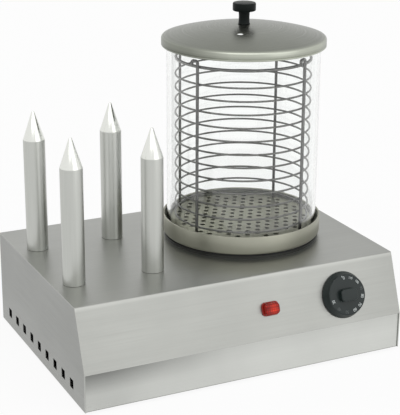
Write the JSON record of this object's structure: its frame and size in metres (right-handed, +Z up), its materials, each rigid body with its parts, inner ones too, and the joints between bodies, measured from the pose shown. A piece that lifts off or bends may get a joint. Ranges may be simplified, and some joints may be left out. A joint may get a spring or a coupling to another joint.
{
  "type": "hot dog toaster",
  "caption": "Low stainless housing with upright heated bun spikes and a lidded glass steam cylinder with a wire basket on a water pan; sloped front with thermostat dial and pilot lamp.",
  "frame": {"origin": "on the ground under the middle of the whole object's bounding box", "axes": "+Z up, +X to the object's right as seen from the front, the sloped control front faces -Y"},
  "size_m": [0.44, 0.3364, 0.4405],
  "materials": {
    "housing_cover": "brushed stainless steel",
    "side_panel_left": "brushed stainless steel",
    "side_panel_right": "brushed stainless steel",
    "rear_panel": "brushed stainless steel",
    "base_tray": "brushed stainless steel",
    "foot_front_left": "black rubber",
    "foot_front_right": "black rubber",
    "foot_rear_left": "black rubber",
    "foot_rear_right": "black rubber",
    "foot_screws": "zinc-plated steel",
    "foot_nuts": "zinc-plated steel",
    "rear_screws": "zinc-plated steel",
    "bun_spike_rear_left": "satin aluminium",
    "spike_heater_rear_left": "dull steel",
    "bun_spike_rear_right": "satin aluminium",
    "spike_heater_rear_right": "dull steel",
    "bun_spike_front_left": "satin aluminium",
    "spike_heater_front_left": "dull steel",
    "bun_spike_front_right": "satin aluminium",
    "spike_heater_front_right": "dull steel",
    "spike_washers": "fibre",
    "spike_nuts": "zinc-plated steel",
    "pan_seat_ring": "brushed stainless steel",
    "pan_gasket": "black silicone",
    "water_pan": "polished stainless steel",
    "pan_well": "stainless steel",
    "pan_studs": "stainless steel",
    "pan_nuts": "zinc-plated steel",
    "heating_element": "oxidised steel",
    "heater_clamp_plate": "plain aluminium",
    "clamp_stud": "stainless steel",
    "clamp_nut": "zinc-plated steel",
    "safety_limiter": "pale ceramic-like plastic",
    "perforated_plate": "perforated stainless steel",
    "plate_rim": "stainless steel",
    "basket_rings": "bright stainless wire",
    "basket_posts": "bright stainless wire",
    "glass_cylinder": "clear glass",
    "lid": "satin stainless steel",
    "lid_locating_ring": "stainless steel",
    "lid_knob": "black plastic",
    "lid_knob_washer": "stainless steel",
    "lid_knob_screw": "stainless steel",
    "thermostat_dial": "black plastic with white figures",
    "thermostat_shaft": "steel",
    "thermostat_body": "pale plastic",
    "thermostat_screws": "zinc-plated steel",
    "pilot_lamp_lens": "red translucent plastic",
    "pilot_lamp_bezel": "dark red plastic",
    "pilot_lamp_body": "white plastic",
    "pilot_lamp_clip": "spring steel",
    "sensing_bulb": "copper",
    "bulb_clip": "steel",
    "capillary": "copper",
    "terminal_block": "white plastic",
    "terminal_screws": "zinc-plated steel",
    "gland_body": "black plastic",
    "gland_seal": "black rubber",
    "gland_cap": "black plastic",
    "gland_lock_nut": "black plastic"
  },
  "bodies": {
    "housing": {"housing_cover": "housing_cover", "side_panel_left": "side_panel_left", "side_panel_right": "side_panel_right", "rear_panel": "rear_panel", "base_tray": "base_tray", "foot_front_left": "foot_front_left", "foot_front_right": "foot_front_right", "foot_rear_left": "foot_rear_left", "foot_rear_right": "foot_rear_right", "foot_screws": "foot_screws", "foot_nuts": "foot_nuts", "rear_screws": "rear_screws", "bun_spike_rear_left": "bun_spike_rear_left", "spike_heater_rear_left": "spike_heater_rear_left", "bun_spike_rear_right": "bun_spike_rear_right", "spike_heater_rear_right": "spike_heater_rear_right", "bun_spike_front_left": "bun_spike_front_left", "spike_heater_front_left": "spike_heater_front_left", "bun_spike_front_right": "bun_spike_front_right", "spike_heater_front_right": "spike_heater_front_right", "spike_washers": "spike_washers", "spike_nuts": "spike_nuts", "pan_seat_ring": "pan_seat_ring", "pan_gasket": "pan_gasket", "water_pan": "water_pan", "pan_well": "pan_well", "pan_studs": "pan_studs", "pan_nuts": "pan_nuts", "heating_element": "heating_element", "heater_clamp_plate": "heater_clamp_plate", "clamp_stud": "clamp_stud", "clamp_nut": "clamp_nut", "safety_limiter": "safety_limiter", "thermostat_body": "thermostat_body", "thermostat_screws": "thermostat_screws", "pilot_lamp_lens": "pilot_lamp_lens", "pilot_lamp_bezel": "pilot_lamp_bezel", "pilot_lamp_body": "pilot_lamp_body", "pilot_lamp_clip": "pilot_lamp_clip", "sensing_bulb": "sensing_bulb", "bulb_clip": "bulb_clip", "capillary": "capillary", "terminal_block": "terminal_block", "terminal_screws": "terminal_screws", "gland_body": "gland_body", "gland_seal": "gland_seal", "gland_cap": "gland_cap", "gland_lock_nut": "gland_lock_nut"},
    "dial": {"thermostat_dial": "thermostat_dial", "thermostat_shaft": "thermostat_shaft"},
    "glass": {"glass_cylinder": "glass_cylinder"},
    "lid": {"lid": "lid", "lid_locating_ring": "lid_locating_ring", "lid_knob": "lid_knob", "lid_knob_washer": "lid_knob_washer", "lid_knob_screw": "lid_knob_screw"},
    "basket": {"basket_rings": "basket_rings", "basket_posts": "basket_posts", "perforated_plate": "perforated_plate", "plate_rim": "plate_rim"}
  },
  "joints": [
    {"name": "dial_turn", "type": "hinge", "parent": "housing", "child": "dial", "pos_m": [0.139, -0.14818, 0.08719], "axis": [0, 0.9383, -0.3457], "range_deg": [0, 330]},
    {"name": "glass_lift", "type": "slide", "parent": "housing", "child": "glass", "axis": [0, 0, 1], "range_m": [0, 0.26]},
    {"name": "lid_lift", "type": "slide", "parent": "glass", "child": "lid", "axis": [0, 0, 1], "range_m": [0, 0.34]},
    {"name": "basket_lift", "type": "slide", "parent": "housing", "child": "basket", "axis": [0, 0, 1], "range_m": [0, 0.272]}
  ],
  "couplings": [
    {"joint": "basket_lift", "follows": "lid_lift", "ratio": 0.8}
  ]
}
